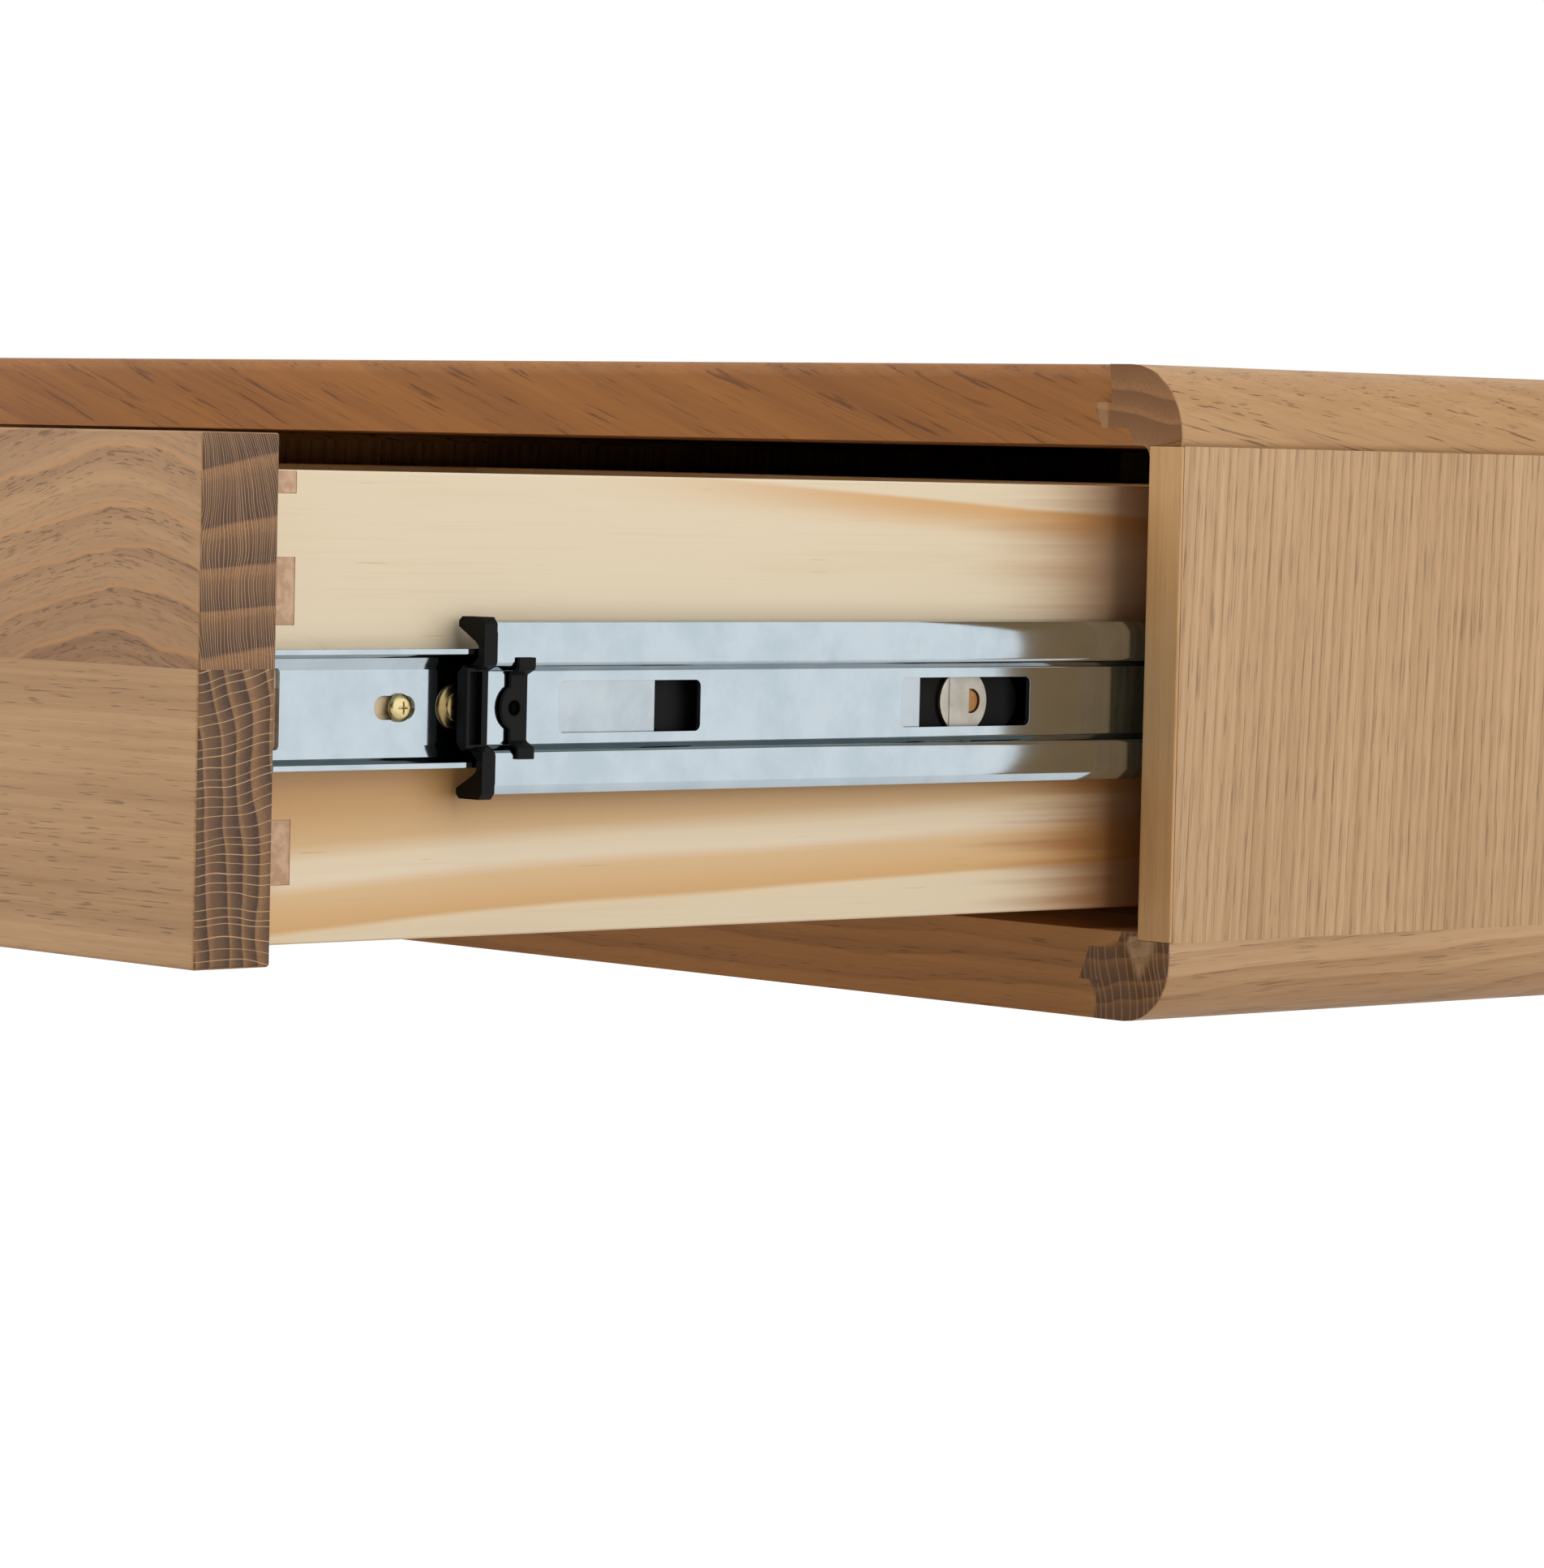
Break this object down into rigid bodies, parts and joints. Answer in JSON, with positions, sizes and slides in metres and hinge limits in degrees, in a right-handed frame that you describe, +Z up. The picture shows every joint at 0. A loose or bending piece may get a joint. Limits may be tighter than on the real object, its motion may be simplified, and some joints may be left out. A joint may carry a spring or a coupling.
{
  "type": "under-desk drawer",
  "caption": "Shallow oak drawer in an open-fronted oak case, on three-section ball-bearing slides, shown pulled out.",
  "frame": {"origin": "centre of the case's flat underside", "axes": "+Y towards the case's back, +Z up, the drawer opens towards -Y"},
  "size_m": [0.51, 0.775, 0.154],
  "materials": {
    "oak": "oiled",
    "oak_veneer": "oiled",
    "oak_front": "oiled",
    "pine": "clear lacquered",
    "plywood": "raw",
    "zinc_steel": "zinc plated",
    "cage_steel": "zinc plated",
    "black_plastic": "matt",
    "yellow_zinc": "yellow passivated zinc on steel",
    "plain_steel": "plain"
  },
  "bodies": {
    "case": {"top_board": "oak", "bottom_board": "oak", "back_panel": "plywood", "top_corner_moulding_right": "oak", "bottom_corner_moulding_right": "oak", "side_panel_right": "oak_veneer", "side_edge_strip_right": "oak", "fixed_member_right": "zinc_steel", "fixed_member_screw_1_right": "yellow_zinc", "fixed_member_screw_2_right": "yellow_zinc", "fixed_member_screw_3_right": "yellow_zinc", "rear_stop_right": "black_plastic", "top_corner_moulding_left": "oak", "bottom_corner_moulding_left": "oak", "side_panel_left": "oak_veneer", "side_edge_strip_left": "oak", "fixed_member_left": "zinc_steel", "fixed_member_screw_1_left": "yellow_zinc", "fixed_member_screw_2_left": "yellow_zinc", "fixed_member_screw_3_left": "yellow_zinc", "rear_stop_left": "black_plastic"},
    "middle_right": {"middle_member_right": "zinc_steel", "end_bumper_right": "black_plastic", "web_clip_right": "black_plastic"},
    "middle_left": {"middle_member_left": "zinc_steel", "end_bumper_left": "black_plastic", "web_clip_left": "black_plastic"},
    "drawer": {"drawer_front_lower_board": "oak_front", "drawer_front_upper_board": "oak_front", "box_front_board": "pine", "box_back_board": "pine", "box_bottom_panel": "plywood", "front_screw_1": "plain_steel", "front_screw_2": "plain_steel", "front_screw_3": "plain_steel", "front_screw_4": "plain_steel", "box_side_right": "pine", "drawer_member_right": "zinc_steel", "drawer_member_screw_1_right": "yellow_zinc", "drawer_member_screw_2_right": "yellow_zinc", "drawer_member_screw_3_right": "yellow_zinc", "lever_rivet_right": "plain_steel", "box_side_left": "pine", "drawer_member_left": "zinc_steel", "drawer_member_screw_1_left": "yellow_zinc", "drawer_member_screw_2_left": "yellow_zinc", "drawer_member_screw_3_left": "yellow_zinc", "lever_rivet_left": "plain_steel"},
    "outer_cage_right": {"outer_ball_cage_right": "cage_steel"},
    "inner_cage_right": {"inner_ball_cage_right": "cage_steel"},
    "lever_right": {"release_lever_right": "black_plastic"},
    "outer_cage_left": {"outer_ball_cage_left": "cage_steel"},
    "inner_cage_left": {"inner_ball_cage_left": "cage_steel"},
    "lever_left": {"release_lever_left": "black_plastic"}
  },
  "joints": [
    {"name": "middle_slide_right", "type": "slide", "parent": "case", "child": "middle_right", "axis": [0, -1, 0], "range_m": [-0.2255, 0]},
    {"name": "middle_slide_left", "type": "slide", "parent": "case", "child": "middle_left", "axis": [0, -1, 0], "range_m": [-0.2255, 0]},
    {"name": "drawer_slide", "type": "slide", "parent": "middle_right", "child": "drawer", "axis": [0, -1, 0], "range_m": [-0.0495, 0.1755]},
    {"name": "outer_cage_slide_right", "type": "slide", "parent": "case", "child": "outer_cage_right", "axis": [0, -1, 0], "range_m": [-0.11275, 0]},
    {"name": "outer_cage_slide_left", "type": "slide", "parent": "case", "child": "outer_cage_left", "axis": [0, -1, 0], "range_m": [-0.11275, 0]},
    {"name": "inner_cage_slide_right", "type": "slide", "parent": "middle_right", "child": "inner_cage_right", "axis": [0, -1, 0], "range_m": [-0.1125, 0.004]},
    {"name": "inner_cage_slide_left", "type": "slide", "parent": "middle_left", "child": "inner_cage_left", "axis": [0, -1, 0], "range_m": [-0.1125, 0.004]},
    {"name": "lever_pivot_right", "type": "hinge", "parent": "drawer", "child": "lever_right", "pos_m": [0.23395, -0.2977, 0.0755], "axis": [1, 0, 0], "range_deg": [-1.4, 1.4], "stiffness_Nm_per_rad": 0.2},
    {"name": "lever_pivot_left", "type": "hinge", "parent": "drawer", "child": "lever_left", "pos_m": [-0.23395, -0.2977, 0.0755], "axis": [1, 0, 0], "range_deg": [-1.4, 1.4], "stiffness_Nm_per_rad": 0.2}
  ],
  "couplings": [
    {"joint": "middle_slide_left", "follows": "middle_slide_right", "ratio": 1},
    {"joint": "outer_cage_slide_right", "follows": "middle_slide_right", "ratio": 0.5},
    {"joint": "outer_cage_slide_left", "follows": "middle_slide_right", "ratio": 0.5}
  ]
}
